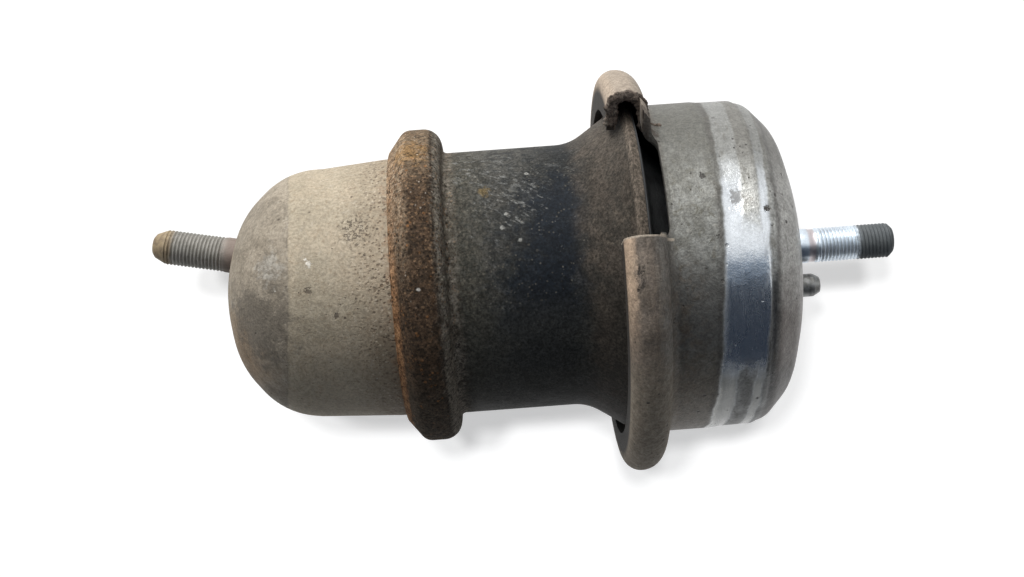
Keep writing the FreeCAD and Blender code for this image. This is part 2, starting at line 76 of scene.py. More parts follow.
# ---------------------------------------------------------------- material kit
class Paint:
    """A procedural material.  Each method adds nodes and gives back a socket.

    Texture sizes, points, radii and depths are in mm; levels along an axis are in metres.
    """

    def __init__(self, name):
        self.mat = bpy.data.materials.new(name)
        self.mat.use_nodes = True
        self.tree = self.mat.node_tree
        self.tree.nodes.clear()
        out = self.add("ShaderNodeOutputMaterial")
        self.shader = self.add("ShaderNodeBsdfPrincipled")
        self.tree.links.new(self.shader.outputs[0], out.inputs[0])
        self.at = self.add("ShaderNodeTexCoord").outputs["Object"]
        split = self.add("ShaderNodeSeparateXYZ")
        self.put(split.inputs[0], self.at)
        self.x, self.y, self.z = split.outputs

    def add(self, kind, **props):
        node = self.tree.nodes.new(kind)
        for key, value in props.items():
            setattr(node, key, value)
        return node

    def put(self, socket, value):
        if isinstance(value, bpy.types.NodeSocket):
            self.tree.links.new(value, socket)
        elif isinstance(value, tuple) and len(value) == 3 and socket.type == "RGBA":
            socket.default_value = (*value, 1.0)
        else:
            socket.default_value = value

    def math(self, op, a, b=0.0):
        node = self.add("ShaderNodeMath", operation=op)
        self.put(node.inputs[0], a)
        self.put(node.inputs[1], b)
        return node.outputs[0]

    def lin(self, a, k, c=0.0):
        """a times k plus c; each may be a socket."""
        return self.math("ADD", self.math("MULTIPLY", a, k), c)

    def moved(self, seed, stretch=(1.0, 1.0, 1.0), turn=0.0):
        """Where a texture is read: shifted by the seed, stretched, and turned about the Y axis."""
        node = self.add("ShaderNodeMapping", vector_type="TEXTURE")
        self.put(node.inputs["Vector"], self.at)
        node.inputs["Location"].default_value = (seed * 0.137, seed * 0.071, seed * 0.193)
        node.inputs["Rotation"].default_value = (0.0, turn, 0.0)
        node.inputs["Scale"].default_value = tuple(1.0 / v for v in stretch)
        return node.outputs[0]

    def noise(self, size, detail=3.0, rough=0.55, warp=0.0, seed=0.0, stretch=(1.0, 1.0, 1.0), turn=0.0):
        node = self.add("ShaderNodeTexNoise")
        self.put(node.inputs["Vector"], self.moved(seed, stretch, turn))
        node.inputs["Scale"].default_value = 1000.0 / size
        node.inputs["Detail"].default_value = detail
        node.inputs["Roughness"].default_value = rough
        node.inputs["Distortion"].default_value = warp
        return node.outputs["Fac"]

    def cells(self, size, seed=0.0, stretch=(1.0, 1.0, 1.0)):
        """Distance to the nearest point of a scattered set, in cells."""
        node = self.add("ShaderNodeTexVoronoi")
        self.put(node.inputs["Vector"], self.moved(seed, stretch))
        node.inputs["Scale"].default_value = 1000.0 / size
        return node.outputs["Distance"]

    def step(self, value, low, high, top=1.0):
        """0 below low, top above high, smooth between.  low may be the larger one."""
        node = self.add("ShaderNodeMapRange", interpolation_type="SMOOTHSTEP")
        self.put(node.inputs["Value"], value)
        flip = low > high
        node.inputs["From Min"].default_value = min(low, high)
        node.inputs["From Max"].default_value = max(low, high)
        node.inputs["To Min"].default_value = top if flip else 0.0
        node.inputs["To Max"].default_value = 0.0 if flip else top
        return node.outputs["Result"]

    def band(self, value, a, b, soft):
        """1 from a to b, 0 outside, with soft edges."""
        return self.math("MULTIPLY", self.step(value, a - soft, a + soft),
                         self.step(value, b + soft, b - soft))

    def both(self, *masks):
        out = masks[0]
        for m in masks[1:]:
            out = self.math("MULTIPLY", out, m)
        return out

    def either(self, *masks):
        out = masks[0]
        for m in masks[1:]:
            out = self.math("MAXIMUM", out, m)
        return out

    def mix(self, factor, a, b):
        node = self.add("ShaderNodeMix", data_type="RGBA")
        self.put(node.inputs["Factor"], factor)
        self.put(node.inputs[6], a)
        self.put(node.inputs[7], b)
        return node.outputs[2]

    def shade(self, colour, factor):
        """Colour times a varying number."""
        node = self.add("ShaderNodeVectorMath", operation="SCALE")
        self.put(node.inputs[0], colour)
        self.put(node.inputs["Scale"], factor)
        return node.outputs[0]

    def blend(self, factor, a, b):
        """Number between a and b by a varying factor."""
        node = self.add("ShaderNodeMix", data_type="FLOAT")
        self.put(node.inputs["Factor"], factor)
        self.put(node.inputs[2], a)
        self.put(node.inputs[3], b)
        return node.outputs[0]

    def dots(self, size, radius, seed=0.0, patches=12.0, cover=0.5):
        """Small separate specks; radius in mm, cover is how much of the surface has them."""
        speck = self.step(self.cells(size, seed), 1.25 * radius / size, 0.75 * radius / size)
        where = self.step(self.noise(patches, 4, 0.65, seed=seed + 0.5), 0.62 - 0.24 * cover,
                          0.70 - 0.24 * cover)
        return self.both(speck, where)

    def near(self, point, radius, ragged=0.0, size=1.5, stretch=(1.0, 1.0, 1.0), soft=0.35):
        """1 inside a patch round a point given in mm, with a ragged edge."""
        node = self.add("ShaderNodeVectorMath", operation="SUBTRACT")
        self.put(node.inputs[0], self.at)
        node.inputs[1].default_value = tuple(c * mm for c in point)
        scaled = self.add("ShaderNodeVectorMath", operation="MULTIPLY")
        self.put(scaled.inputs[0], node.outputs[0])
        scaled.inputs[1].default_value = tuple(1000.0 / radius / s for s in stretch)
        length = self.add("ShaderNodeVectorMath", operation="LENGTH")
        self.put(length.inputs[0], scaled.outputs[0])
        d = length.outputs["Value"]
        if ragged:
            d = self.math("ADD", d, self.lin(self.noise(size, 4.0, 0.7, seed=point[2]), 2.0 * ragged,
                                             -ragged))
        return self.step(d, 1.0 + soft, 1.0 - soft)

    def bump(self, height, depth, normal=None):
        """depth in mm of a height that goes from 0 to 1."""
        node = self.add("ShaderNodeBump")
        node.inputs["Strength"].default_value = 1.0
        node.inputs["Distance"].default_value = depth * mm
        self.put(node.inputs["Height"], height)
        if normal is not None:
            self.put(node.inputs["Normal"], normal)
        return node.outputs[0]

    def angle(self):
        """Angle round the body from -Y toward -X, in radians."""
        return self.math("ARCTAN2", self.math("MULTIPLY", self.x, -1.0),
                         self.math("MULTIPLY", self.y, -1.0))

    def done(self, colour, rough, metal=0.0, normal=None, spec=0.5):
        self.put(self.shader.inputs["Base Color"], colour)
        self.put(self.shader.inputs["Roughness"], rough)
        self.put(self.shader.inputs["Metallic"], metal)
        self.shader.inputs["Specular IOR Level"].default_value = spec
        if normal is not None:
            self.put(self.shader.inputs["Normal"], normal)
        return self.mat


# ---------------------------------------------------------------- materials
def can_paint():
    """Warm beige-grey paint with fine speckle, grime toward the crimp and a greyer end."""
    p = Paint("can_paint")
    broad = p.step(p.noise(22, 4, 0.6, 0.4), 0.36, 0.66)
    patch = p.step(p.noise(5.5, 5, 0.65, seed=1), 0.38, 0.64)
    fine = p.step(p.noise(0.9, 3, 0.7, seed=2), 0.30, 0.70)
    sand = p.noise(1.9, 4, 0.75, seed=3)
    colour = p.mix(broad, (0.415, 0.350, 0.262), (0.335, 0.288, 0.215))
    colour = p.mix(p.lin(patch, 0.45), colour, (0.44, 0.39, 0.305))
    colour = p.mix(p.step(sand, 0.54, 0.66, 0.45), colour, (0.25, 0.19, 0.125))
    colour = p.mix(p.step(sand, 0.44, 0.32, 0.40), colour, (0.52, 0.47, 0.39))
    # greyer dipped end with an uneven edge
    edge = p.math("ADD", p.math("ADD", p.lin(p.x, 0.0733), p.lin(p.y, 0.1565)), p.z)
    edge = p.math("ADD", edge, p.lin(p.noise(9, 4, 0.6, seed=4), 1.6 * mm, -0.8 * mm))
    dip = p.step(edge, 19.8 * mm, 19.2 * mm)
    end = p.mix(p.step(p.noise(7, 5, 0.65, 0.6, seed=4), 0.38, 0.62), (0.335, 0.292, 0.235),
                (0.185, 0.160, 0.126))
    end = p.mix(p.step(p.noise(2.4, 5, 0.75, seed=5), 0.56, 0.70, 0.5), end, (0.46, 0.425, 0.37))
    end = p.mix(p.step(sand, 0.52, 0.64, 0.4), end, (0.17, 0.145, 0.115))
    colour = p.mix(p.lin(dip, 0.86), colour, end)
    line = p.band(edge, 19.0 * mm, 20.0 * mm, 0.5 * mm)
    colour = p.mix(p.lin(p.both(line, p.step(patch, 0.2, 0.8)), 0.35), colour, (0.17, 0.15, 0.12))
    # grime that thickens toward the crimp
    rise = p.step(p.math("ADD", p.z, p.lin(sand, 10 * mm, -5 * mm)), 40 * mm, 60 * mm)
    colour = p.mix(p.lin(rise, 0.38), colour, (0.25, 0.185, 0.125))
    # painted shade: the grime near the crimp is darker on the lower side
    colour = p.mix(p.lin(p.both(rise, p.step(p.x, -4 * mm, 22 * mm)), 0.45), colour, (0.125, 0.098, 0.068))
    soot = p.both(p.either(p.dots(1.25, 0.36, 11, 9, 0.9), p.dots(2.3, 0.55, 12, 7, 0.75)),
                  p.lin(rise, 0.9, 0.1))
    colour = p.mix(p.lin(soot, 0.75), colour, (0.105, 0.075, 0.050))
    pale = p.both(p.dots(1.7, 0.34, 13, 9, 0.8), p.lin(rise, 0.7, 0.2))
    colour = p.mix(p.lin(pale, 0.55), colour, (0.60, 0.53, 0.43))
    rusty = p.both(p.step(p.z, 54 * mm, 61 * mm), p.step(p.noise(2.6, 4, 0.7, seed=14), 0.48, 0.60))
    colour = p.mix(p.lin(rusty, 0.55), colour, (0.27, 0.135, 0.060))
    # scuffed light patch, an orange tint low on the end, a stain at its upper side
    scuff = p.near((-8.4, -39.1, 20.0), 4.8, 1.6, 2.4)
    colour = p.mix(p.lin(scuff, 0.55), colour,
                   p.mix(p.step(sand, 0.42, 0.62), (0.47, 0.45, 0.41), (0.20, 0.185, 0.16)))
    tint = p.near((18.5, -19.8, 5.9), 12, 0.8, 6, soft=0.7)
    colour = p.mix(p.lin(tint, 0.5), colour, (0.37, 0.235, 0.125))
    colour = p.mix(p.lin(p.near((9, -35, 14), 12, 1.8, 4, soft=0.5), 0.70), colour, (0.125, 0.110, 0.090))
    colour = p.mix(p.lin(p.near((-27, -22, 9), 11, 1.2, 4, soft=0.5), 0.35), colour, (0.21, 0.185, 0.15))
    warm = p.step(p.z, 7 * mm, 0.5 * mm)
    colour = p.mix(p.lin(p.both(warm, p.step(patch, 0.1, 0.9)), 0.45), colour, (0.36, 0.27, 0.17))
    # pits and chips
    cluster = p.both(p.near((-19.1, -39.3, 48.6), 5.0, 1.4, 1.6),
                     p.step(p.noise(0.9, 3, 0.7, seed=8), 0.52, 0.60))
    cluster = p.either(cluster, p.near((-0.6, -42.7, 32.5), 0.9, 2.6, 0.9),
                       p.near((7.9, -42.6, 40.7), 0.8, 2.6, 0.9))
    marks = p.either(p.dots(4.2, 0.40, 1, 14, 0.6), p.dots(2.2, 0.22, 15, 10, 0.5), cluster)
    colour = p.mix(p.lin(marks, 0.75), colour, (0.075, 0.058, 0.044))
    chips = p.either(p.near((-9.0, -41.8, 33.3), 0.9, 3.0, 0.9),
                     p.near((-10.6, -41.4, 32.2), 0.45, 2.5, 0.7),
                     p.near((-24, -36, 28), 0.5, 2.6, 0.8), p.dots(7.0, 0.26, 16, 20, 0.5))
    colour = p.mix(p.lin(chips, 0.85), colour, (0.72, 0.69, 0.63))
    colour = p.shade(colour, p.lin(fine, 0.44, 0.78))
    height = p.math("ADD", p.lin(fine, 0.35), p.lin(sand, 0.65))
    height = p.math("SUBTRACT", height, p.lin(p.either(marks, soot), 1.0))
    wavy = p.bump(p.noise(8, 3, 0.5, seed=17), 0.25, p.bump(height, 0.17))
    return p.done(colour, p.lin(patch, 0.12, 0.66), 0.0, wavy, 0.30)


def sleeve_paint():
    """Rusty crimp, blackened neck with scuffs, brownish flare."""
    p = Paint("sleeve_paint")
    fine = p.step(p.noise(0.8, 3, 0.7, seed=2), 0.30, 0.70)
    sand = p.noise(1.5, 4, 0.75, seed=3)
    coarse = p.noise(3.4, 5, 0.72, 0.4, seed=10)
    mid = p.noise(7, 5, 0.65, 0.5, seed=4)
    broad = p.noise(24, 4, 0.6, 0.6, seed=5)
    # neck
    neck = p.mix(p.step(mid, 0.38, 0.64), (0.024, 0.026, 0.026), (0.044, 0.043, 0.039))
    neck = p.mix(p.step(coarse, 0.50, 0.66, 0.75), neck, (0.072, 0.069, 0.061))
    neck = p.mix(p.step(coarse, 0.46, 0.36, 0.65), neck, (0.019, 0.020, 0.021))
    right = p.step(p.math("ADD", p.z, p.lin(mid, 22 * mm, -11 * mm)), 96 * mm, 108 * mm)
    neck = p.mix(p.lin(right, 0.66), neck, (0.009, 0.011, 0.013))
    smear = p.step(p.noise(6, 6, 0.78, 1.2, seed=41, stretch=(1.0, 1.0, 0.5), turn=0.5), 0.54, 0.68)
    neck = p.mix(p.lin(smear, 0.60), neck, (0.095, 0.098, 0.098))
    blue = p.either(p.near((-19, -40, 112), 13, 1.6, 6, (1.5, 1, 0.9), 0.4),
                    p.near((14, -43, 106), 16, 1.6, 7, (1.6, 1, 0.8), 0.4))
    neck = p.mix(p.lin(blue, 0.75), neck, (0.007, 0.0105, 0.0165))
    top = p.math("ADD", p.lin(p.x, -1.0), p.lin(broad, 14 * mm, -7 * mm))
    dusty = p.both(p.step(top, 18 * mm, 44 * mm), p.step(p.z, 118 * mm, 98 * mm),
                   p.step(coarse, 0.34, 0.56))
    neck = p.mix(p.lin(dusty, 0.5), neck, (0.092, 0.089, 0.080))
    olive = p.step(p.math("ADD", p.z, p.lin(coarse, 16 * mm, -8 * mm)), 94 * mm, 82 * mm)
    neck = p.mix(p.lin(olive, 0.5), neck, p.mix(p.step(sand, 0.44, 0.60), (0.052, 0.050, 0.038),
                                                (0.110, 0.100, 0.076)))
    # scratches, scuffs and flecks
    scratch = p.step(p.noise(1.5, 5, 0.8, 0.5, seed=6, stretch=(1.0, 1.0, 0.24), turn=0.62), 0.535, 0.62)
    where = p.either(p.near((-38, -25, 86), 12, 1.2, 4, (0.8, 1, 1.3)), p.near((-26, -37, 97), 12, 1.6, 5))
    neck = p.mix(p.lin(p.both(scratch, where), 0.55), neck, (0.24, 0.245, 0.24))
    light_side = p.step(p.x, 24 * mm, -6 * mm)
    grains = p.either(p.dots(1.5, 0.30, 5, 9, 0.7), p.dots(2.6, 0.42, 6, 8, 0.45))
    neck = p.mix(p.lin(p.both(grains, p.lin(light_side, 0.7, 0.3)), 0.34), neck, (0.19, 0.175, 0.145))
    flecks = p.both(p.step(p.noise(1.9, 5, 0.82, 0.8, seed=31), 0.645, 0.69),
                    p.step(p.noise(14, 3, 0.6, seed=32), 0.40, 0.56))
    flecks = p.either(flecks, p.lin(p.dots(4.6, 0.26, 3, 12, 0.4), 0.7))
    flecks = p.both(flecks, p.lin(light_side, 0.9, 0.1))
    flecks = p.either(flecks, p.near((-15.9, -42.0, 94.9), 0.75, 1.6, 1.6),
                      p.near((-11.7, -43.4, 100.3), 0.55, 1.5, 1.4),
                      p.near((-20.5, -40.0, 96.5), 0.6, 1.6, 1.5), p.near((-33.5, -30, 104), 0.6, 1.6, 1.5))
    neck = p.mix(p.lin(flecks, 0.75), neck, (0.30, 0.30, 0.285))
    neck = p.mix(p.lin(p.near((-28.2, -35.0, 90.0), 1.8, 1.8, 2.0), 0.65), neck, (0.15, 0.105, 0.042))
    # painted reflected light: a lighter grey band low on the neck
    low = p.both(p.step(p.x, 2 * mm, 20 * mm), p.step(p.x, 44 * mm, 30 * mm))
    neck = p.mix(p.lin(low, 0.42), neck, (0.070, 0.070, 0.062))
    # painted shade: darker toward the bottom edge of the neck
    neck = p.mix(p.lin(p.step(p.x, 22 * mm, 42 * mm), 0.45), neck, (0.017, 0.0165, 0.013))
    # flare
    flare = p.mix(p.step(mid, 0.40, 0.62), (0.042, 0.037, 0.031), (0.062, 0.052, 0.043))
    flare = p.mix(p.step(coarse, 0.52, 0.66, 0.7), flare, (0.092, 0.077, 0.062))
    flare = p.mix(p.step(sand, 0.46, 0.36, 0.5), flare, (0.022, 0.021, 0.020))
    # painted light on the upper side of the flare, painted shade on its lower side
    flare = p.mix(p.lin(p.step(p.x, -26 * mm, -44 * mm), 0.5), flare, (0.090, 0.078, 0.065))
    flare = p.mix(p.lin(p.step(p.x, -8 * mm, 8 * mm), 0.45), flare, (0.020, 0.0185, 0.0165))
    colour = p.mix(p.step(p.math("ADD", p.z, p.lin(mid, 9 * mm, -4.5 * mm)), 116 * mm, 125 * mm), neck,
                   flare)
    rim = p.step(p.math("ADD", p.z, p.lin(sand, 0.6 * mm)), 135.9 * mm, 136.6 * mm)
    colour = p.mix(p.lin(rim, 0.7), colour,
                   p.mix(p.step(sand, 0.42, 0.58), (0.205, 0.170, 0.138), (0.105, 0.088, 0.072)))
    # shoulder of the crimp and the crimp itself
    high = p.math("ADD", p.z, p.math("ADD", p.lin(sand, 3.4 * mm, -1.7 * mm),
                                     p.lin(coarse, 5 * mm, -2.5 * mm)))
    shoulder = p.step(high, 81.5 * mm, 77.0 * mm)
    brown = p.mix(p.step(coarse, 0.40, 0.60), (0.240, 0.218, 0.185), (0.135, 0.118, 0.094))
    brown = p.mix(p.lin(p.step(p.x, 8 * mm, 38 * mm), 0.7), brown, (0.270, 0.235, 0.190))
    colour = p.mix(p.lin(shoulder, 0.9), colour, brown)
    rust = p.mix(p.step(p.noise(2.8, 5, 0.72, 0.5, seed=8), 0.42, 0.60), (0.088, 0.058, 0.038),
                 (0.044, 0.032, 0.023))
    rust = p.mix(p.step(p.noise(5, 4, 0.7, 0.5, seed=18), 0.54, 0.66, 0.5), rust, (0.130, 0.076, 0.042))
    ring = p.step(high, 74.4 * mm, 72.2 * mm)
    colour = p.mix(ring, colour, rust)
    near_ring = p.step(high, 82 * mm, 77 * mm)
    colour = p.mix(p.both(p.lin(ring, 0.6), p.step(p.x, 22 * mm, 44 * mm)), colour, (0.105, 0.088, 0.066))
    # the lip's cut edge: rust, painted bright orange as a highlight
    lip = p.step(p.math("ADD", p.z, p.lin(sand, 2.2 * mm, -1.1 * mm)), 61.6 * mm, 60.2 * mm)
    colour = p.mix(p.lin(lip, 0.9), colour,
                   p.mix(p.step(coarse, 0.40, 0.58), (0.37, 0.205, 0.105), (0.22, 0.115, 0.058)))
    # painted light: the upper side of the crimp is a lighter tan
    lit_upper_side = p.step(p.math("ADD", p.x, p.lin(coarse, 16 * mm, -8 * mm)), -28 * mm, -46 * mm)
    colour = p.mix(p.lin(p.both(lit_upper_side, ring), 0.60), colour, (0.250, 0.190, 0.130))
    # painted light: lighter tan on the upper part of the lip's slope
    lit_lip_slope = p.both(p.step(p.math("ADD", p.z, p.lin(coarse, 3 * mm, -1.5 * mm)), 66.5 * mm, 63.5 * mm),
                   p.step(p.x, 8 * mm, -30 * mm))
    colour = p.mix(p.lin(lit_lip_slope, 0.62), colour,
                   p.mix(p.step(sand, 0.42, 0.60), (0.44, 0.345, 0.245), (0.25, 0.165, 0.105)))
    ochre = p.near((-42, -31, 66), 5.0, 2.2, 2.5, soft=0.6)
    colour = p.mix(p.lin(ochre, 0.45), colour, (0.33, 0.185, 0.06))
    # grains of rust, pale crumbs, dark pits and a broken dark seam at the crest
    tan = p.both(p.either(p.dots(1.3, 0.40, 21, 6, 0.8), p.step(sand, 0.60, 0.68)), near_ring,
                 p.step(p.x, 40 * mm, -10 * mm))
    colour = p.mix(p.lin(tan, 0.60), colour, (0.235, 0.150, 0.088))
    orange = p.both(p.dots(2.1, 0.50, 22, 9, 0.5), ring)
    colour = p.mix(p.lin(orange, 0.6), colour, (0.300, 0.140, 0.055))
    crumbs = p.both(p.dots(1.9, 0.32, 23, 8, 0.6), near_ring, p.step(p.x, 30 * mm, -20 * mm))
    colour = p.mix(p.lin(crumbs, 0.65), colour, (0.42, 0.38, 0.33))
    crust = p.both(p.step(high, 85 * mm, 77 * mm), p.step(p.noise(1.1, 4, 0.78, 0.3, seed=9), 0.57, 0.63))
    crust = p.either(crust, p.both(p.dots(1.6, 0.45, 24, 7, 0.8), near_ring))
    colour = p.mix(p.lin(crust, 0.80), colour, (0.020, 0.015, 0.012))
    spill = p.both(p.step(high, 90 * mm, 78 * mm), p.step(p.noise(3.2, 5, 0.75, 0.6, seed=19), 0.55, 0.63))
    colour = p.mix(p.lin(spill, 0.55), colour, (0.036, 0.027, 0.020))
    seam = p.both(p.band(p.math("ADD", p.z, p.lin(mid, 2.2 * mm, -1.1 * mm)), 73.0 * mm, 74.0 * mm,
                         0.6 * mm),
                  p.step(coarse, 0.38, 0.54))
    colour = p.mix(p.lin(seam, 0.75), colour, (0.022, 0.015, 0.011))
    colour = p.mix(p.lin(p.near((1.7, -53.6, 67.7), 0.65, 1.6, 1.3), 0.85), colour, (0.60, 0.58, 0.54))
    mottle = p.step(p.noise(2.1, 4, 0.78, seed=33), 0.36, 0.64)
    colour = p.shade(colour, p.math("MULTIPLY", p.lin(fine, 0.95, 0.52), p.lin(mottle, 0.50, 0.75)))
    rusty = p.step(p.z, 84 * mm, 76 * mm)
    height = p.math("SUBTRACT", p.math("ADD", p.lin(fine, 0.4), p.lin(sand, 0.6)), p.lin(crust, 0.5))
    coarse_bump = p.math("MULTIPLY", p.math("ADD", sand, p.lin(p.noise(1.1, 4, 0.78, 0.3, seed=9), 0.8)),
                         rusty)
    normal = p.bump(p.noise(9, 3, 0.5, seed=11), 0.35, p.bump(coarse_bump, 0.38, p.bump(height, 0.13)))
    rough = p.blend(rusty, p.lin(mid, 0.25, 0.52), 0.90)
    return p.done(colour, rough, 0.0, normal, 0.10)


def cup_metal():
    """Pressed steel: dusty curl, dull skirt, two rubbed bands that run together, a worn shoulder."""
    p = Paint("cup_metal")
    fine = p.step(p.noise(0.75, 3, 0.65, seed=2), 0.30, 0.70)
    sand = p.noise(1.4, 4, 0.72, seed=3)
    coarse = p.noise(3.1, 5, 0.72, 0.5, seed=10)
    mid = p.noise(6, 5, 0.65, 0.4, seed=4)
    turned = p.noise(1.3, 4, 0.65, 0.0, seed=5, stretch=(0.09, 0.09, 1.0))
    level = p.math("ADD", p.lin(p.x, 0.055), p.z)
    uneven = p.math("ADD", level, p.lin(p.noise(10, 4, 0.6, seed=6), 2.6 * mm, -1.3 * mm))
    across = p.math("ADD", p.x, p.lin(mid, 14 * mm, -7 * mm))
    # painted shade: dims the upper side, so the key light's highlight on the bands stays dull
    painted_dim_top = p.step(across, -20 * mm, -38 * mm)
    first, second = p.band(uneven, 162.2 * mm, 168.2 * mm, 0.7 * mm), p.band(uneven, 173.8 * mm, 176.5 * mm,
                                                                             0.6 * mm)
    rubbed = p.both(p.band(uneven, 162.2 * mm, 176.2 * mm, 0.8 * mm), p.step(across, -17 * mm, -6 * mm),
                    p.step(across, 37 * mm, 32 * mm))
    bright = p.math("MULTIPLY", p.either(first, second, rubbed), p.lin(painted_dim_top, -0.78, 1.0))
    bare = p.step(uneven, 160.5 * mm, 164 * mm)
    # skirt
    dull = p.mix(p.step(mid, 0.38, 0.64), (0.225, 0.228, 0.215), (0.140, 0.139, 0.126))
    dull = p.mix(p.step(coarse, 0.54, 0.66, 0.7), dull, (0.085, 0.080, 0.060))
    dull = p.mix(p.step(coarse, 0.45, 0.34, 0.6), dull, (0.235, 0.230, 0.208))
    # painted shade: darker at the top of the skirt, so its highlight stays dull
    dull = p.mix(p.lin(p.step(p.x, -20 * mm, -44 * mm), 0.85), dull, (0.098, 0.097, 0.086))
    # painted shade on the lower side of the skirt
    lower = p.both(p.step(across, -8 * mm, 10 * mm), p.step(across, 34 * mm, 20 * mm))
    dull = p.mix(p.lin(lower, 0.6), dull, (0.072, 0.070, 0.068))
    # painted reflection: lighter and brownish toward the bottom edge
    dull = p.mix(p.lin(p.step(across, 22 * mm, 38 * mm), 0.7), dull, (0.150, 0.130, 0.104))
    # worn end
    upper = p.mix(p.step(mid, 0.36, 0.62), (0.40, 0.405, 0.39), (0.26, 0.26, 0.25))
    upper = p.mix(p.step(coarse, 0.56, 0.66, 0.6), upper, (0.19, 0.18, 0.165))
    worn = p.step(level, 177.5 * mm, 181 * mm)
    upper = p.mix(p.lin(worn, 0.45), upper, (0.360, 0.350, 0.335))
    # painted shade: darker on the lower side of the worn end
    upper = p.mix(p.both(p.lin(worn, 0.85), p.step(across, -2 * mm, 22 * mm)), upper, (0.105, 0.090, 0.082))
    # painted shade at the top of the worn end
    upper = p.mix(p.lin(painted_dim_top, 0.80), upper, (0.120, 0.116, 0.104))
    colour = p.mix(bare, dull, upper)
    colour = p.mix(p.lin(bright, 0.95), colour, (0.76, 0.80, 0.84))
    # painted reflection: the bands turn grey-beige along the bottom edge
    beige = p.both(p.either(first, second), p.step(across, 32 * mm, 40 * mm))
    # painted shade: the bands turn dull grey toward the top
    pale = p.both(p.either(first, second), painted_dim_top)
    colour = p.mix(p.lin(pale, 0.75), colour, (0.190, 0.192, 0.182))
    colour = p.mix(p.lin(beige, 0.75), colour, (0.38, 0.37, 0.32))
    # painted shade over the fillet of the step on the lower side, which would mirror a bright line
    painted_fillet_shade = p.both(p.band(level, 176.6 * mm, 179.0 * mm, 0.8 * mm), p.step(across, -4 * mm, 8 * mm),
                  p.step(across, 40 * mm, 34 * mm))
    colour = p.mix(p.lin(painted_fillet_shade, 0.85), colour, (0.050, 0.052, 0.056))
    # painted shade along the pressed grooves, in patches, and smears round the body
    grooves = p.either(p.band(uneven, 160.2 * mm, 161.8 * mm, 0.8 * mm),
                       p.both(p.band(uneven, 169.8 * mm, 173.0 * mm, 0.8 * mm),
                       p.step(across, 28 * mm, 38 * mm)), p.band(uneven, 178.4 * mm, 180.0 * mm, 0.8 * mm))
    grooves = p.both(grooves, p.step(p.noise(12, 4, 0.6, seed=7), 0.38, 0.54))
    colour = p.mix(p.lin(grooves, 0.60), colour, (0.070, 0.065, 0.060))
    smear = p.step(p.noise(4, 5, 0.75, 0.8, seed=8, stretch=(0.35, 0.35, 1.0)), 0.55, 0.68)
    colour = p.mix(p.lin(p.both(smear, p.lin(bright, -0.6, 1.0)), 0.45), colour, (0.120, 0.112, 0.092))
    # curl: cream dust with painted light at the top, a painted highlight along its edge toward the can, a
    # painted reflection at the bottom, brown grey elsewhere
    curl = p.step(p.math("ADD", p.z, p.lin(mid, 3 * mm, -1.5 * mm)), 148.0 * mm, 144.0 * mm)
    tan = p.mix(p.step(mid, 0.38, 0.62), (0.205, 0.170, 0.140), (0.110, 0.092, 0.077))
    tan = p.mix(p.step(coarse, 0.52, 0.66, 0.6), tan, (0.200, 0.172, 0.142))
    tan = p.mix(p.lin(p.step(p.z, 138 * mm, 142 * mm), 0.60), tan, (0.250, 0.245, 0.228))
    streaks = p.step(p.noise(1.6, 5, 0.75, 0.4, seed=15, stretch=(0.2, 0.2, 1.0)), 0.52, 0.64)
    tan = p.mix(p.lin(streaks, 0.5), tan, (0.075, 0.060, 0.048))
    # painted highlight: a cream line along the curl's edge toward the can
    painted_highlight_edge = p.step(p.math("ADD", p.z, p.lin(coarse, 3.4 * mm, -1.7 * mm)), 134.6 * mm, 132.2 * mm)
    painted_highlight_edge = p.both(painted_highlight_edge, p.step(p.x, 34 * mm, 4 * mm))
    tan = p.mix(p.lin(painted_highlight_edge, 0.85), tan, (0.580, 0.430, 0.310))
    # painted reflection: lighter tan toward the bottom of the curl
    tan = p.mix(p.lin(p.step(across, 22 * mm, 42 * mm), 0.65), tan, (0.390, 0.335, 0.260))
    # dust with painted light: lighter at the top of the curl
    dust_and_lit_crown = p.step(p.math("ADD", p.x, p.lin(mid, 10 * mm, -5 * mm)), -42 * mm, -54 * mm)
    tan = p.mix(p.lin(dust_and_lit_crown, 0.75), tan, (0.385, 0.325, 0.265))
    colour = p.mix(curl, colour, tan)
    skirt = p.both(p.step(p.z, 160 * mm, 149 * mm), p.step(coarse, 0.40, 0.60),
                   p.step(p.x, -10 * mm, 10 * mm))
    colour = p.mix(p.lin(skirt, 0.45), colour, (0.150, 0.118, 0.088))
    around = p.math("SQRT", p.math("ADD", p.math("POWER", p.x, 2.0), p.math("POWER", p.y, 2.0)))
    # painted shade: near black in the hollow under the curl
    painted_hollow_shade = p.both(p.step(around, 64.5 * mm, 61.5 * mm), p.step(p.z, 134.5 * mm, 133.0 * mm))
    colour = p.mix(p.lin(painted_hollow_shade, 0.95), colour, (0.012, 0.011, 0.010))
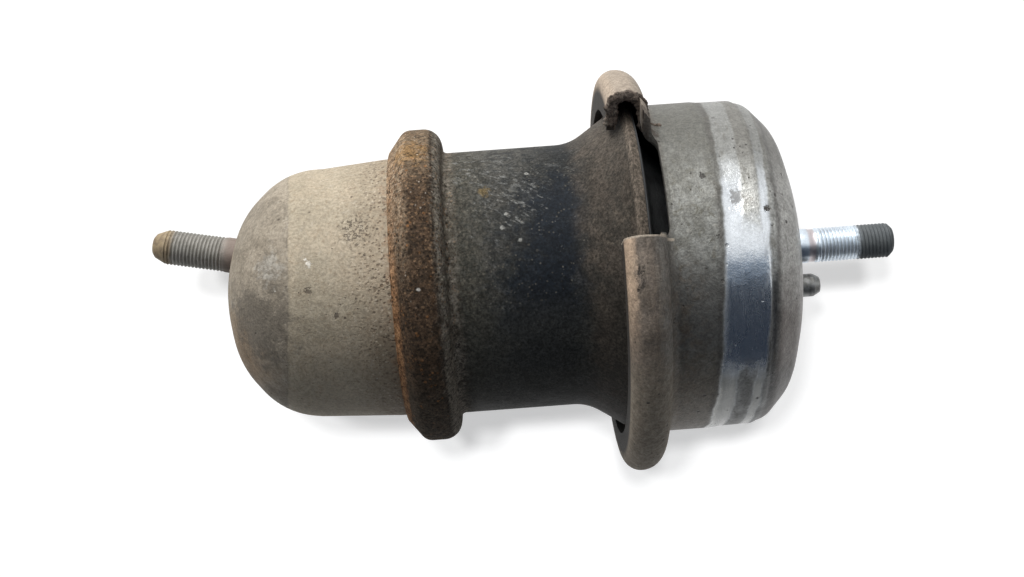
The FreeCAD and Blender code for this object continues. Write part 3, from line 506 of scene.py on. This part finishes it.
    # pits, chips, the dent and a scratch on the curl
    pits = p.either(p.dots(3.0, 0.30, 4, 14, 0.6), p.dots(6.0, 0.62, 26, 20, 0.5))
    pits = p.both(pits, p.lin(rubbed, -0.7, 1.0))
    dent = p.near((-19.7, -52.3, 167.8), 2.2, 1.8, 1.6)
    chip = p.near((-15.6, -52.7, 176.8), 0.9, 2.4, 0.8)
    scrape = p.both(p.near((2.2, -68.5, 134.6), 3.2, 0.6, 2, (1.6, 1, 0.45)),
                    p.step(p.noise(1.2, 4, 0.75, 0.6, seed=16, stretch=(0.4, 1, 1), turn=0.5), 0.54, 0.60))
    marks = p.either(pits, scrape, p.near((-27, -49, 158), 0.8, 2.6, 0.8),
                     p.near((-8, -55, 160.5), 0.7, 2.4, 0.7))
    colour = p.mix(p.lin(marks, 0.85), colour, (0.032, 0.027, 0.023))
    colour = p.mix(p.lin(dent, 0.65), colour, (0.150, 0.140, 0.125))
    colour = p.mix(chip, colour, (0.085, 0.080, 0.075))
    # cut edges of the window: tan on the near edge, rust on the far one
    a = p.angle()
    low = p.step(p.z, 147.5 * mm, 146.5 * mm)
    edge = p.both(low, p.band(a, window_from - 0.008, window_from + 0.008, 0.003))
    colour = p.mix(p.lin(edge, 0.8), colour, (0.50, 0.43, 0.35))
    far = p.both(low, p.band(a, window_to - 0.012, window_to + 0.050, 0.012), p.step(sand, 0.30, 0.50))
    colour = p.mix(p.lin(far, 0.8), colour, (0.055, 0.040, 0.030))
    # painted shade: dark inner face of the cup, seen through the window
    inside = p.step(around, 55.2 * mm, 54.8 * mm)
    inside = p.both(inside, p.step(p.z, 178 * mm, 174 * mm))
    colour = p.mix(p.lin(inside, 0.85), colour, (0.040, 0.037, 0.034))
    # flat end: rubbed ring round the bracket's seat
    flat = p.step(p.z, 190.6 * mm, 191.1 * mm)
    colour = p.mix(p.lin(flat, 0.6), colour,
                   p.mix(p.step(mid, 0.4, 0.6), (0.42, 0.42, 0.41), (0.24, 0.235, 0.22)))
    mottle = p.step(p.noise(2.0, 4, 0.78, seed=34), 0.36, 0.64)
    colour = p.shade(colour, p.lin(fine, p.lin(bright, -0.26, 0.42), p.lin(bright, 0.13, 0.79)))
    colour = p.shade(colour, p.lin(mottle, p.lin(bright, -0.24, 0.34), p.lin(bright, 0.12, 0.83)))
    metal = p.math("MULTIPLY", p.blend(bare, 0.42, p.blend(bright, 0.72, 0.96)), p.step(curl, 0.95, 0.1))
    metal = p.math("MULTIPLY", metal, p.lin(p.either(painted_dim_top, p.both(bare, p.step(across, 30 * mm,
                                                                                  38 * mm))), -0.88, 1.0))
    metal = p.math("MULTIPLY", metal, p.lin(p.either(marks, inside, edge, far), -0.85, 1.0))
    rough = p.blend(bright, p.blend(bare, 0.54, 0.47), 0.25)
    rough = p.math("ADD", rough, p.math("ADD", p.lin(turned, 0.16, -0.08), p.lin(smear, 0.10)))
    rough = p.blend(curl, rough, 0.80)
    grit = p.bump(p.math("MULTIPLY", p.math("ADD", p.lin(fine, 0.5), p.lin(sand, 0.5)),
                         p.lin(bright, -0.7, 1.0)), 0.10)
    ridged = p.bump(turned, 0.035, grit)
    pitted = p.bump(p.lin(p.either(marks, chip), -1.0, 1.0), 0.25, ridged)
    dented = p.bump(p.lin(p.near((-19.7, -52.3, 167.8), 3.6, 0.3, 3, soft=0.8), -1.0, 1.0), 0.7, pitted)
    wavy = p.bump(p.noise(11, 2, 0.5, seed=12), 0.30, dented)
    dusty = p.bump(p.math("MULTIPLY", p.math("ADD", sand, coarse), curl), 0.12, wavy)
    return p.done(colour, rough, metal, dusty, 0.4)


def rubber():
    """Black rubber, dusty where it shows in the window."""
    p = Paint("rubber")
    mid = p.noise(5, 5, 0.65, 0.4, seed=1)
    grain = p.noise(0.5, 2, 0.6, seed=2)
    colour = p.mix(p.step(mid, 0.40, 0.64), (0.020, 0.020, 0.021), (0.046, 0.043, 0.040))
    dust = p.both(p.step(p.z, 132 * mm, 138 * mm), p.step(mid, 0.30, 0.55))
    colour = p.mix(p.lin(dust, 0.7), colour, (0.034, 0.038, 0.041))
    colour = p.shade(colour, p.lin(grain, 0.6, 0.7))
    crack = p.step(p.cells(2.2, 5, (1, 1, 1.6)), 0.55, 0.75)
    return p.done(colour, p.lin(mid, 0.25, 0.55), 0.0,
                  p.bump(p.math("SUBTRACT", grain, p.lin(crack, 0.5)), 0.08), 0.4)


def stud_metal(name, shank, groove, tip, tip_from, tip_cover, root, root_to, root_cover, root_dull,
               axis_x, lean, clean_rough, shine, blush=()):
    """Threaded stud.  shank and tip are pairs of tones.  The tip is dirty past a level along the stud,
    the root up to one.  blush is an optional heat-tinted ring: its two levels and its colour."""
    p = Paint(name)
    grain = p.noise(0.35, 2, 0.6, seed=2)
    mid = p.noise(2.5, 5, 0.65, 0.5, seed=3)
    brushed = p.noise(0.5, 3, 0.6, seed=4, stretch=(1.0, 1.0, 0.08))
    s = p.math("SUBTRACT", p.x, axis_x)
    if lean:
        cos_lean, sin_lean = math.cos(lean), math.sin(lean)
        along = p.math("ADD", p.math("MULTIPLY", p.z, -cos_lean), p.math("MULTIPLY", s, -sin_lean))
        side = p.math("SUBTRACT", p.math("MULTIPLY", s, cos_lean), p.math("MULTIPLY", p.z, sin_lean))
    else:
        along, side = p.z, s
    r = p.math("SQRT", p.math("ADD", p.math("MULTIPLY", side, side), p.math("MULTIPLY", p.y, p.y)))
    low = p.step(r, 5.75 * mm, 5.45 * mm)
    colour = p.mix(p.step(mid, 0.40, 0.62, 0.6), shank[0], shank[1])
    colour = p.mix(p.lin(low, 0.8), colour, groove)
    at_root = p.step(p.math("ADD", along, p.lin(mid, 4 * mm, -2 * mm)), root_to + 2.5 * mm,
                     root_to - 2.5 * mm)
    colour = p.mix(p.lin(at_root, root_cover), colour, root)
    at_tip = p.step(p.math("ADD", along, p.lin(mid, 3 * mm, -1.5 * mm)), tip_from - 1.2 * mm,
                    tip_from + 1.2 * mm)
    colour = p.mix(p.lin(at_tip, tip_cover), colour, p.mix(p.step(mid, 0.42, 0.58), tip[0], tip[1]))
    colour = p.shade(colour, p.lin(grain, 0.5, 0.75))
    if blush:
        ring_from, ring_to, ring_colour = blush
        colour = p.mix(p.lin(p.band(p.z, ring_from, ring_to, 0.5 * mm), 0.55), colour, ring_colour)
    soil = p.either(at_tip, p.lin(low, 0.6), p.lin(at_root, root_dull))
    rough = p.math("ADD", p.blend(soil, clean_rough, 0.72), p.lin(brushed, 0.14, -0.07))
    return p.done(colour, rough, p.lin(soil, -0.63 * shine, shine), p.bump(p.math("ADD", grain, mid), 0.05))


def inner_finish(name, light, dark, size, rough, metal, depth):
    """Plain finish of a hidden piece: two tones, fine grain, light bump."""
    p = Paint(name)
    grain = p.noise(size, 3, 0.65, seed=2)
    mid = p.noise(size * 9, 5, 0.6, 0.4, seed=3)
    colour = p.shade(p.mix(p.step(mid, 0.38, 0.64), light, dark), p.lin(grain, 0.5, 0.75))
    return p.done(colour, p.lin(mid, 0.22, rough), metal,
                  p.bump(p.math("ADD", grain, p.lin(mid, 0.5)), depth))


def pin_metal():
    p = Paint("pin_metal")
    grain = p.noise(0.4, 2, 0.6, seed=2)
    mid = p.noise(2.2, 5, 0.65, 0.4, seed=3)
    colour = p.mix(p.step(mid, 0.40, 0.62), (0.33, 0.335, 0.33), (0.20, 0.20, 0.19))
    ring = p.band(p.z, 199.6 * mm, 200.5 * mm, 0.3 * mm)
    colour = p.mix(p.lin(ring, 0.4), colour, (0.10, 0.10, 0.10))
    colour = p.mix(p.step(p.z, 194 * mm, 191.6 * mm, 0.6), colour, (0.09, 0.08, 0.07))
    colour = p.shade(colour, p.lin(grain, 0.5, 0.75))
    return p.done(colour, p.lin(mid, 0.2, 0.42), 0.75, p.bump(p.math("ADD", grain, mid), 0.05))


def crust_paint():
    """Rust scale: dark brown with grey and ochre crumbs."""
    p = Paint("crust")
    a = p.noise(1.2, 5, 0.75, 0.6, seed=1)
    b = p.noise(3.5, 4, 0.7, 0.5, seed=2)
    colour = p.mix(p.step(a, 0.42, 0.60), (0.200, 0.160, 0.132), (0.045, 0.036, 0.030))
    colour = p.mix(p.step(b, 0.52, 0.64, 0.8), colour, (0.30, 0.265, 0.225))
    return p.done(colour, p.lin(a, 0.1, 0.82), 0.0, p.bump(a, 0.30), 0.3)


# ---------------------------------------------------------------- mesh pieces
def mesh_object(name, verts, faces, material):
    data = bpy.data.meshes.new(name)
    data.from_pydata(verts, [], faces)
    data.validate()
    obj = bpy.data.objects.new(name, data)
    scene.collection.objects.link(obj)
    work = bmesh.new()
    work.from_mesh(data)
    bmesh.ops.recalc_face_normals(work, faces=work.faces)
    work.to_mesh(data)
    work.free()
    for f in data.polygons:
        f.use_smooth = True
    data.materials.append(material)
    return obj


def tube_faces(rings, turns):
    """Faces of a closed tube whose vertices run ring by ring, with both ends capped."""
    faces = []
    for j in range(rings - 1):
        for i in range(turns):
            k = (i + 1) % turns
            faces.append((j * turns + i, j * turns + k, (j + 1) * turns + k, (j + 1) * turns + i))
    faces.append(tuple(range(turns)))
    faces.append(tuple((rings - 1) * turns + i for i in range(turns)))
    return faces


def profile_radius(profile, s):
    """Radius at a level from corner points (level, radius)."""
    for (s0, r0), (s1, r1) in zip(profile, profile[1:]):
        if s <= s1:
            return r0 if s1 == s0 else r0 + (r1 - r0) * (s - s0) / (s1 - s0)
    return profile[-1][1]


def threaded(name, profile, thread_from, thread_to, place, material, turns=56):
    """Turned blank with a cut V thread between two levels; the crests keep the blank's radius."""
    levels = [p[0] for p in profile]
    n = int((thread_to - thread_from) / pitch * 14)
    levels += [thread_from + (thread_to - thread_from) * i / n for i in range(n + 1)]
    for a, b in zip(profile, profile[1:]):
        if b[0] - a[0] > 2 * mm and b[0] <= thread_from:
            k = int((b[0] - a[0]) / (2 * mm))
            levels += [a[0] + (b[0] - a[0]) * i / k for i in range(1, k)]
    levels = sorted(set(round(v, 8) for v in levels))
    steps = {}
    for s, r in profile:
        steps.setdefault(round(s, 8), []).append(r)
    rings = []
    for s in levels:
        radii = steps.get(s, [profile_radius(profile, s)])
        rings += [(s, r) for r in (radii if len(radii) > 1 else radii[:1])]
    verts = []
    for s, r in rings:
        fade = min(1.0, max(0.0, (s - thread_from) / (1.1 * pitch)),
                   max(0.0, (thread_to - s) / (0.6 * pitch) + 0.4))
        inside = thread_from <= s <= thread_to
        for i in range(turns):
            t = 2 * math.pi * i / turns
            cut = 0.0
            if inside:
                u = (s / pitch - t / (2 * math.pi)) % 1.0
                tri = abs(2 * u - 1)
                cut = thread_deep * fade * min(1.0, max(0.0, (tri - 0.12) / 0.80))
                cut = max(0.0, cut - (stud_r - r)) if r < stud_r else cut
            verts.append(place(s, (r - cut) * math.cos(t), (r - cut) * math.sin(t)))
    obj = mesh_object(name, verts, tube_faces(len(rings), turns), material)
    flat = bmesh.new()
    flat.from_mesh(obj.data)
    for e in flat.edges:
        if len(e.link_faces) == 2 and e.calc_face_angle(0.0) > math.radians(34):
            e.smooth = False
    flat.to_mesh(obj.data)
    flat.free()
    return obj


def upper_place(s, a, b):
    return (upper_x + a, b, s)


def lower_place(s, a, b):
    c, q = math.cos(lower_lean), math.sin(lower_lean)
    return (lower_x - q * s + c * a, b, -c * s - q * a)


def rounded_line(points, steps=7):
    """Polyline of (r, z, corner radius) points with its corners rounded."""
    out = [Vector(points[0][:2])]
    for a, b, c in zip(points, points[1:], points[2:]):
        p, q, n = Vector(a[:2]), Vector(b[:2]), Vector(c[:2])
        u, w = (q - p).normalized(), (n - q).normalized()
        half = math.acos(max(-1, min(1, u.dot(w)))) / 2
        s = b[2] * math.tan(half)
        start, stop = q - u * s, q + w * s
        for i in range(steps + 1):
            t = i / steps
            out.append(start.lerp(q, t).lerp(q.lerp(stop, t), t))
    out.append(Vector(points[-1][:2]))
    return out


def crusted_edge(name, angle, points, half_width, material, seed, lumps=0.45):
    """Ragged bead of scale that follows a cut edge of the sheet in the plane at an angle."""
    line = rounded_line([(r * mm, z * mm, c * mm) for r, z, c in points])
    dense = []
    for a, b in zip(line, line[1:]):
        k = max(1, int((b - a).length / (0.35 * mm)))
        dense += [a.lerp(b, i / k) for i in range(k)]
    dense.append(line[-1])
    radial = Vector((-math.sin(angle), -math.cos(angle), 0))
    tangent = Vector((-math.cos(angle), math.sin(angle), 0))
    verts, turns, half_thick = [], 18, 1.0 * mm
    for j, p in enumerate(dense):
        d = (dense[min(j + 1, len(dense) - 1)] - dense[max(j - 1, 0)]).normalized()
        across = radial * d.y - Vector((0, 0, 1)) * d.x
        centre = radial * p.x + Vector((0, 0, p.y))
        end = min(1.0, j / 3.0, (len(dense) - 1 - j) / 3.0)
        for i in range(turns):
            t = 2 * math.pi * i / turns
            q = centre + across * math.cos(t) * half_width + tangent * math.sin(t) * 0.55 * mm
            n = noise.fractal(q * 900 + Vector((seed, 0, 0)), 0.7, 2.2, 4)
            m = noise.noise(q * 330 + Vector((0, seed, 0)))
            k = (0.82 + lumps * (0.55 * n + 0.45 * m)) * (0.35 + 0.65 * end)
            offset = across * math.cos(t) * half_width * k + tangent * math.sin(t) * half_thick * k
            verts.append(centre + offset)
    return mesh_object(name, verts, tube_faces(len(dense), turns), material)


# ---------------------------------------------------------------- dressing the frame
cup_m, can_m, sleeve_m, rubber_m = cup_metal(), can_paint(), sleeve_paint(), rubber()
core_m = inner_finish("cast_alloy", (0.50, 0.50, 0.51), (0.36, 0.36, 0.37), 0.7, 0.42, 0.85, 0.10)
steel_m = inner_finish("inner_steel", (0.30, 0.30, 0.29), (0.17, 0.17, 0.165), 0.5, 0.40, 0.8, 0.04)
looks = {
    "stopper_cup": cup_m, "lower_can": can_m, "outer_sleeve": sleeve_m, "main_spring": rubber_m,
    "diaphragm": rubber_m, "decoupler_disc": rubber_m, "inner_core": core_m, "track_body": core_m,
    "locating_pin": pin_metal(),
}
for name, obj in nodes.items():
    material = looks.get(name, steel_m)
    if not obj.material_slots:
        obj.data.materials.append(material)
    for s in obj.material_slots:
        s.material = material

zinc_m = stud_metal(
    "stud_zinc", shank=((0.74, 0.82, 0.90), (0.55, 0.61, 0.68)), groove=(0.30, 0.34, 0.38),
    tip=((0.030, 0.034, 0.034), (0.060, 0.066, 0.066)), tip_from=217.5 * mm, tip_cover=0.90,
    root=(0.30, 0.28, 0.25), root_to=192.5 * mm, root_cover=0.5, root_dull=0.4,
    axis_x=upper_x, lean=0.0, clean_rough=0.33, shine=0.95, blush=(200.2 * mm, 202.6 * mm,
                                                                   (0.50, 0.36, 0.33)))
dull_m = stud_metal(
    "stud_dull", shank=((0.300, 0.290, 0.268), (0.185, 0.178, 0.160)), groove=(0.125, 0.116, 0.100),
    tip=((0.330, 0.250, 0.145), (0.200, 0.145, 0.085)), tip_from=19.2 * mm, tip_cover=0.80,
    root=(0.150, 0.085, 0.060), root_to=1.2 * mm, root_cover=0.55, root_dull=0.9,
    axis_x=lower_x, lean=lower_lean, clean_rough=0.62, shine=0.45)

screwed_in = 29.8 * mm
under = cup_under - screwed_in
stud = threaded("upper_stud_cut", [
    (under, 4.5 * mm), (under + 1.5 * mm, stud_r), (upper_run - relief_from, stud_r),
    (upper_run - relief_from + relief_run, relief_r), (upper_run - 0.6 * mm, relief_r), (upper_run, stud_r),
    (upper_tip - 1.6 * mm, stud_r), (upper_tip, 4.4 * mm)],
    upper_run, upper_tip - 0.3 * mm, upper_place, zinc_m)
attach(stud, "root")
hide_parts("upper_stud")

neck_r, neck_to = 6.1 * mm, 0.6 * mm
stud = threaded("lower_stud_cut", [
    (head_level - head_high, 9.2 * mm), (head_level - 3.2 * mm, head_r), (head_level, head_r), (head_level,
                                                                                                neck_r),
    (neck_to, neck_r), (neck_to, stud_r), (lower_tip - 4.8 * mm, stud_r), (lower_tip - 0.9 * mm, 4.2 * mm),
    (lower_tip, 3.0 * mm)],
    0.8 * mm, lower_tip - 4.2 * mm, lower_place, dull_m)
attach(stud, "root")
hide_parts("lower_stud")

crust_m = crust_paint()
mid_r = (wall_out - sheet_t / 2) / mm
crust = crusted_edge("window_crust", curl_to + 0.004, [
    (mid_r, 149.5, 0), (mid_r, 143.3, 4.2), (67.5, 142.0, 6.0), (67.5, 132.4, 4.2), (57.0, 132.4, 0)],
    2.5 * mm, crust_m, 3.0, 0.50)
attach(crust, "root")


# ---------------------------------------------------------------- camera
roll, tilt, far = math.radians(4.22), math.radians(-0.60), 460 * mm
aim_z, aside, below = 84.6 * mm, 12.68 * mm, 2.46 * mm
c, s, ct, st = math.cos(roll), math.sin(roll), math.cos(tilt), math.sin(tilt)
right, up, back = Vector((s, c * st, c * ct)), Vector((-c, s * st, s * ct)), Vector((0, -ct, st))
eye = Vector((0, 0, aim_z)) + back * far + right * aside - up * below
cam_data = bpy.data.cameras.new("camera")
cam_data.sensor_width, cam_data.lens = 36.0, 46.54
cam = bpy.data.objects.new("camera", cam_data)
cam.matrix_world = Matrix((
    (right.x, up.x, back.x, eye.x), (right.y, up.y, back.y, eye.y), (right.z, up.z, back.z, eye.z), (0, 0,
                                                                                                     0, 1)))
scene.collection.objects.link(cam)
scene.camera = cam
scene.view_settings.view_transform = "Standard"


# ---------------------------------------------------------------- stage and light
def made_node(tree, kind, **values):
    """A node with some inputs set by name."""
    node = tree.nodes.new(kind)
    for key, value in values.items():
        node.inputs[key].default_value = value
    return node.outputs[0]


def joined(tree, kind, *sources):
    """A node whose first inputs take the given outputs."""
    node = tree.nodes.new(kind)
    for source, socket in zip(sources, node.inputs):
        tree.links.new(source, socket)
    return node


def seen_rays(tree):
    """1 on camera rays and on the glossy and transmitted rays that show the same white."""
    path = tree.nodes.new("ShaderNodeLightPath")
    seen = path.outputs["Is Camera Ray"]
    for kind in ("Is Glossy Ray", "Is Transmission Ray"):
        larger = joined(tree, "ShaderNodeMath", seen, path.outputs[kind])
        larger.operation = "MAXIMUM"
        seen = larger.outputs[0]
    return seen


def floor_material():
    """Pale floor that keeps the shadow; seen from behind it is not there."""
    m = bpy.data.materials.new("floor")
    m.use_nodes = True
    t = m.node_tree
    t.nodes.clear()
    pale = (0.60, 0.60, 0.60, 1)
    glow = made_node(t, "ShaderNodeEmission", Color=(1, 1, 1, 1), Strength=0.525)
    lit = joined(t, "ShaderNodeAddShader", glow,
                 made_node(t, "ShaderNodeBsdfDiffuse", Color=pale)).outputs[0]
    plain = made_node(t, "ShaderNodeBsdfDiffuse", Color=pale)
    front = joined(t, "ShaderNodeMixShader", seen_rays(t), plain, lit).outputs[0]
    behind = t.nodes.new("ShaderNodeNewGeometry").outputs["Backfacing"]
    clear = made_node(t, "ShaderNodeBsdfTransparent")
    side = joined(t, "ShaderNodeMixShader", behind, front, clear).outputs[0]
    joined(t, "ShaderNodeOutputMaterial", side)
    return m


floor_half, floor_gap = 2.0, 0.3 * mm
y = cad_box[1].y + floor_gap
corners = [(-floor_half, y, -floor_half), (floor_half, y, -floor_half), (floor_half, y, floor_half),
           (-floor_half, y, floor_half)]
floor_mesh = bpy.data.meshes.new("floor")
floor_mesh.from_pydata(corners, [], [(0, 1, 2, 3)])
floor_mesh.materials.append(floor_material())
floor = bpy.data.objects.new("floor", floor_mesh)
scene.collection.objects.link(floor)
floor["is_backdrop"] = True

world = bpy.data.worlds.new("world")
scene.world = world
world.use_nodes = True
tree = world.node_tree
tree.nodes.clear()
dim = made_node(tree, "ShaderNodeBackground", Color=(1.0, 0.97, 0.90, 1), Strength=0.27)
white = made_node(tree, "ShaderNodeBackground", Color=(1, 1, 1, 1), Strength=1.0)
sky = joined(tree, "ShaderNodeMixShader", seen_rays(tree), dim, white).outputs[0]
joined(tree, "ShaderNodeOutputWorld", sky)


def group(name, members):
    made = bpy.data.collections.new(name)
    for o in members:
        made.objects.link(o)
    return made


body_middle = 100 * mm
on_object, on_floor = group("lit_object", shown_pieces()), group("lit_floor", [floor])


def lamp(name, direction, distance, size, power, lights, colour=(1, 1, 1)):
    """Round soft lamp that stands off the middle of the body and lights one group only."""
    data = bpy.data.lights.new(name, "AREA")
    data.shape, data.size, data.energy, data.color = "DISK", size, power, colour
    obj = bpy.data.objects.new(name, data)
    d = Vector(direction).normalized()
    obj.location = Vector((0, 0, body_middle)) + d * distance
    obj.rotation_mode = "QUATERNION"
    obj.rotation_quaternion = d.to_track_quat("Z", "Y")
    scene.collection.objects.link(obj)
    obj.light_linking.receiver_collection = lights
    return obj


lamp("key", (-0.88, -0.42, -0.26), 1.3, 0.9, 20.5, on_object, (1.0, 0.985, 0.96))
lamp("front", (-0.55, -1.0, -0.25), 1.5, 0.7, 4.0, on_object)
lamp("drop_low", (-0.17, -1.0, -0.05), 1.6, 0.13, 11.0, on_floor)
lamp("drop_side", (-0.14, -1.0, -0.19), 1.6, 0.13, 11.0, on_floor)


def card(name, left, right, glow):
    """Upright card beside the object, between two (x, y) places, unseen by the camera and casting no
    shadow, that shiny metal mirrors.
    """
    low, high = -0.9, 1.1
    corners = [(*left, low), (*left, high), (*right, high), (*right, low)]
    data = bpy.data.meshes.new(name)
    data.from_pydata(corners, [], [(0, 1, 2, 3)])
    obj = bpy.data.objects.new(name, data)
    m = bpy.data.materials.new(name)
    m.use_nodes = True
    face = m.node_tree.nodes["Principled BSDF"]
    face.inputs["Base Color"].default_value = (0.03, 0.03, 0.032, 1)
    face.inputs["Roughness"].default_value = 1.0
    face.inputs["Emission Color"].default_value = (*glow, 1)
    face.inputs["Emission Strength"].default_value = 1.0
    data.materials.append(m)
    obj.visible_camera = obj.visible_shadow = False
    scene.collection.objects.link(obj)
    obj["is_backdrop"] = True


card("card_dark", (0.10, -0.62), (0.75, -0.02), (0.002, 0.010, 0.025))
card("card_grey", (-0.03, -0.63), (0.10, -0.62), (0.15, 0.21, 0.29))
